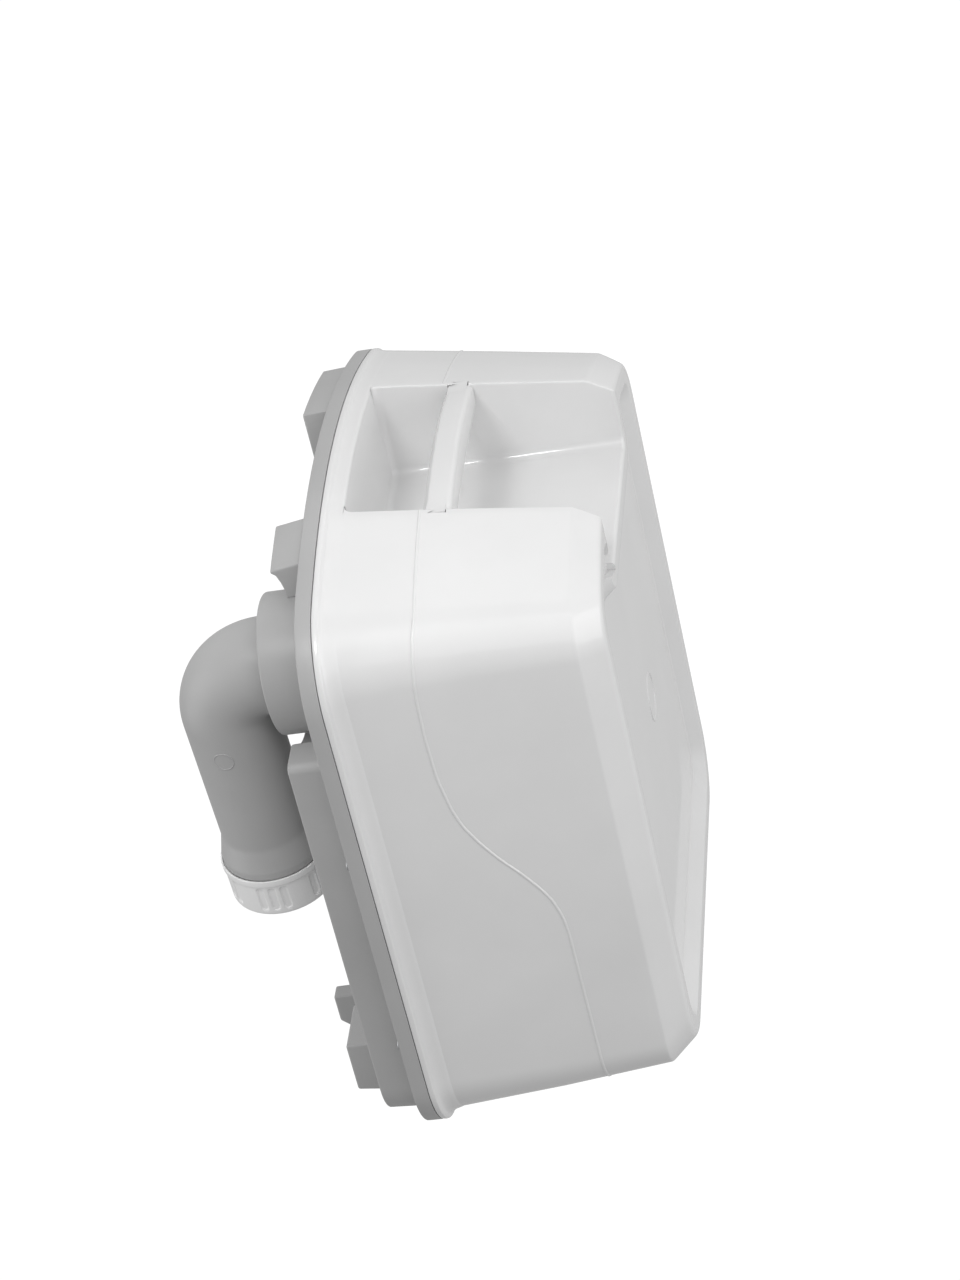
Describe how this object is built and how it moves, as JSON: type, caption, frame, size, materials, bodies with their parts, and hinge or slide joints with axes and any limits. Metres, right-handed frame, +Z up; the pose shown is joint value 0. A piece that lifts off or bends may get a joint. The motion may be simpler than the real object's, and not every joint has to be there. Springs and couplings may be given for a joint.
{
  "type": "cassette toilet waste tank",
  "caption": "Portable cassette toilet waste tank with front hand recess and carry bar, grey top deck with locating lugs, sliding valve and swivelling capped pour-out spout.",
  "frame": {"origin": "centre of the plan outline, on the plane of the base rim the tank stands on", "axes": "+Z up from the base rim to the grey deck; -Y is the front face with the hand recess and carry bar; +Y is the back with the valve blade's pull; the spout stands on the -X side"},
  "size_m": [0.388, 0.408, 0.2741],
  "materials": {
    "tank_white": "semi-gloss moulded",
    "deck_grey": "satin moulded",
    "cap_white": "semi-gloss moulded",
    "inner_grey": "satin moulded",
    "seal_rubber": "matte",
    "steel": "plain stainless",
    "indicator": "satin",
    "float_foam": "fine-celled foam",
    "window_clear": "clear polished plastic"
  },
  "bodies": {
    "tank": {"tank_shell": "tank_white", "carry_handle": "tank_white", "top_deck": "deck_grey", "deck_gasket": "seal_rubber", "valve_body": "inner_grey", "blade_guide_left": "inner_grey", "blade_guide_right": "inner_grey", "port_seal": "seal_rubber", "seal_retainer": "deck_grey", "retainer_screw_1": "steel", "retainer_screw_2": "steel", "retainer_screw_3": "steel", "retainer_screw_4": "steel", "deck_screw_1": "steel", "deck_screw_2": "steel", "deck_screw_3": "steel", "deck_screw_4": "steel", "deck_screw_5": "steel", "deck_screw_6": "steel", "spout_collar": "deck_grey", "spout_washer": "inner_grey", "vent_housing": "deck_grey", "vent_spring": "steel", "float_bracket": "inner_grey", "float_pin": "steel", "indicator_window": "window_clear"},
    "spout": {"spout_elbow": "deck_grey", "spout_o_ring": "seal_rubber"},
    "cap_seat": {"cap_gasket": "seal_rubber"},
    "cap": {"spout_cap": "cap_white"},
    "blade": {"valve_blade": "inner_grey", "blade_handle": "deck_grey"},
    "vent": {"vent_button": "deck_grey", "vent_seal": "seal_rubber"},
    "float": {"float_arm": "indicator", "level_float": "float_foam"}
  },
  "joints": [
    {"name": "spout_swivel", "type": "hinge", "parent": "tank", "child": "spout", "pos_m": [-0.119, -0.1234, 0.1737], "axis": [0, 0, 1], "range_deg": [0, 180]},
    {"name": "cap_lift", "type": "slide", "parent": "spout", "child": "cap_seat", "axis": [0.0872, 0.9962, 0], "range_m": [0, 0.018]},
    {"name": "cap_turn", "type": "hinge", "parent": "cap_seat", "child": "cap", "pos_m": [-0.10563, 0.02942, 0.2403], "axis": [0.0872, 0.9962, 0], "range_deg": [0, 1080]},
    {"name": "valve_slide", "type": "slide", "parent": "tank", "child": "blade", "axis": [0, 1, 0], "range_m": [0, 0.1]},
    {"name": "vent_press", "type": "slide", "parent": "tank", "child": "vent", "axis": [0, 0, -1], "range_m": [0, 0.0038], "stiffness_N_per_m": 350, "springref_m": -0.003, "deforming": ["vent_spring"]},
    {"name": "float_rise", "type": "hinge", "parent": "tank", "child": "float", "pos_m": [0.11, 0, 0.176], "axis": [1, 0, 0], "range_deg": [0, 60]}
  ],
  "couplings": [
    {"joint": "cap_lift", "follows": "cap_turn", "m_per_rad": 0.00095493}
  ]
}
